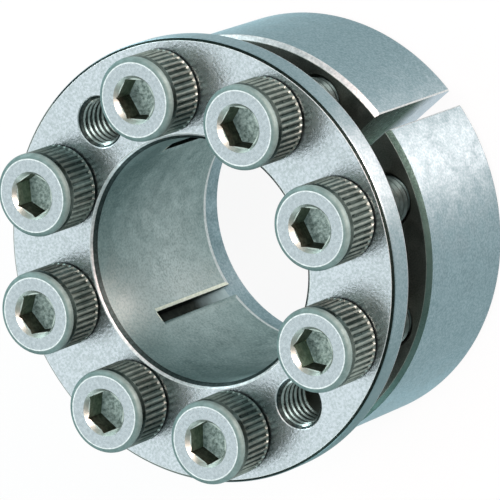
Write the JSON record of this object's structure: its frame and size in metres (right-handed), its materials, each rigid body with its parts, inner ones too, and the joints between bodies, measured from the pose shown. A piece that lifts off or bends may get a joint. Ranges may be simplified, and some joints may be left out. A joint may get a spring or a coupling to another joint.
{
  "type": "keyless locking assembly",
  "caption": "Flanged slotted taper sleeve inside a split taper ring, drawn together by a circle of socket head screws to lock a hub on a shaft without a key.",
  "frame": {"origin": "middle of the outer ring's back face, on which the assembly stands", "axes": "+Z along the shaft axis towards the flange and the screw heads; +X through the outer ring's slit"},
  "size_m": [0.069, 0.069, 0.044],
  "materials": {
    "inner_ring_steel": "bright satin, zinc plated",
    "outer_ring_steel": "fine turned satin, zinc plated",
    "screw_steel": "bright plated, knurled heads"
  },
  "bodies": {
    "inner_ring": {"inner_ring": "inner_ring_steel"},
    "outer_ring": {"outer_ring": "outer_ring_steel"},
    "screw_1": {"screw_1": "screw_steel"},
    "screw_2": {"screw_2": "screw_steel"},
    "screw_3": {"screw_3": "screw_steel"},
    "screw_4": {"screw_4": "screw_steel"},
    "screw_5": {"screw_5": "screw_steel"},
    "screw_6": {"screw_6": "screw_steel"},
    "screw_7": {"screw_7": "screw_steel"},
    "screw_8": {"screw_8": "screw_steel"}
  },
  "joints": [
    {"name": "screw_1_turn", "type": "hinge", "parent": "inner_ring", "child": "screw_1", "pos_m": [0.02487, 0.0093, 0.036], "axis": [0, 0, -1], "range_deg": [0, 576]},
    {"name": "screw_2_turn", "type": "hinge", "parent": "inner_ring", "child": "screw_2", "pos_m": [0.01267, 0.02333, 0.036], "axis": [0, 0, -1], "range_deg": [0, 576]},
    {"name": "screw_3_turn", "type": "hinge", "parent": "inner_ring", "child": "screw_3", "pos_m": [-0.01267, 0.02333, 0.036], "axis": [0, 0, -1], "range_deg": [0, 576]},
    {"name": "screw_4_turn", "type": "hinge", "parent": "inner_ring", "child": "screw_4", "pos_m": [-0.02487, 0.0093, 0.036], "axis": [0, 0, -1], "range_deg": [0, 576]},
    {"name": "screw_5_turn", "type": "hinge", "parent": "inner_ring", "child": "screw_5", "pos_m": [-0.02487, -0.0093, 0.036], "axis": [0, 0, -1], "range_deg": [0, 576]},
    {"name": "screw_6_turn", "type": "hinge", "parent": "inner_ring", "child": "screw_6", "pos_m": [-0.01267, -0.02333, 0.036], "axis": [0, 0, -1], "range_deg": [0, 576]},
    {"name": "screw_7_turn", "type": "hinge", "parent": "inner_ring", "child": "screw_7", "pos_m": [0.01267, -0.02333, 0.036], "axis": [0, 0, -1], "range_deg": [0, 576]},
    {"name": "screw_8_turn", "type": "hinge", "parent": "inner_ring", "child": "screw_8", "pos_m": [0.02487, -0.0093, 0.036], "axis": [0, 0, -1], "range_deg": [0, 576]},
    {"name": "outer_ring_draw", "type": "slide", "parent": "inner_ring", "child": "outer_ring", "axis": [0, 0, 1], "range_m": [0, 0.002]}
  ],
  "couplings": [
    {"joint": "screw_1_turn", "follows": "outer_ring_draw", "rad_per_m": 5026.5},
    {"joint": "screw_2_turn", "follows": "outer_ring_draw", "rad_per_m": 5026.5},
    {"joint": "screw_3_turn", "follows": "outer_ring_draw", "rad_per_m": 5026.5},
    {"joint": "screw_4_turn", "follows": "outer_ring_draw", "rad_per_m": 5026.5},
    {"joint": "screw_5_turn", "follows": "outer_ring_draw", "rad_per_m": 5026.5},
    {"joint": "screw_6_turn", "follows": "outer_ring_draw", "rad_per_m": 5026.5},
    {"joint": "screw_7_turn", "follows": "outer_ring_draw", "rad_per_m": 5026.5},
    {"joint": "screw_8_turn", "follows": "outer_ring_draw", "rad_per_m": 5026.5}
  ]
}
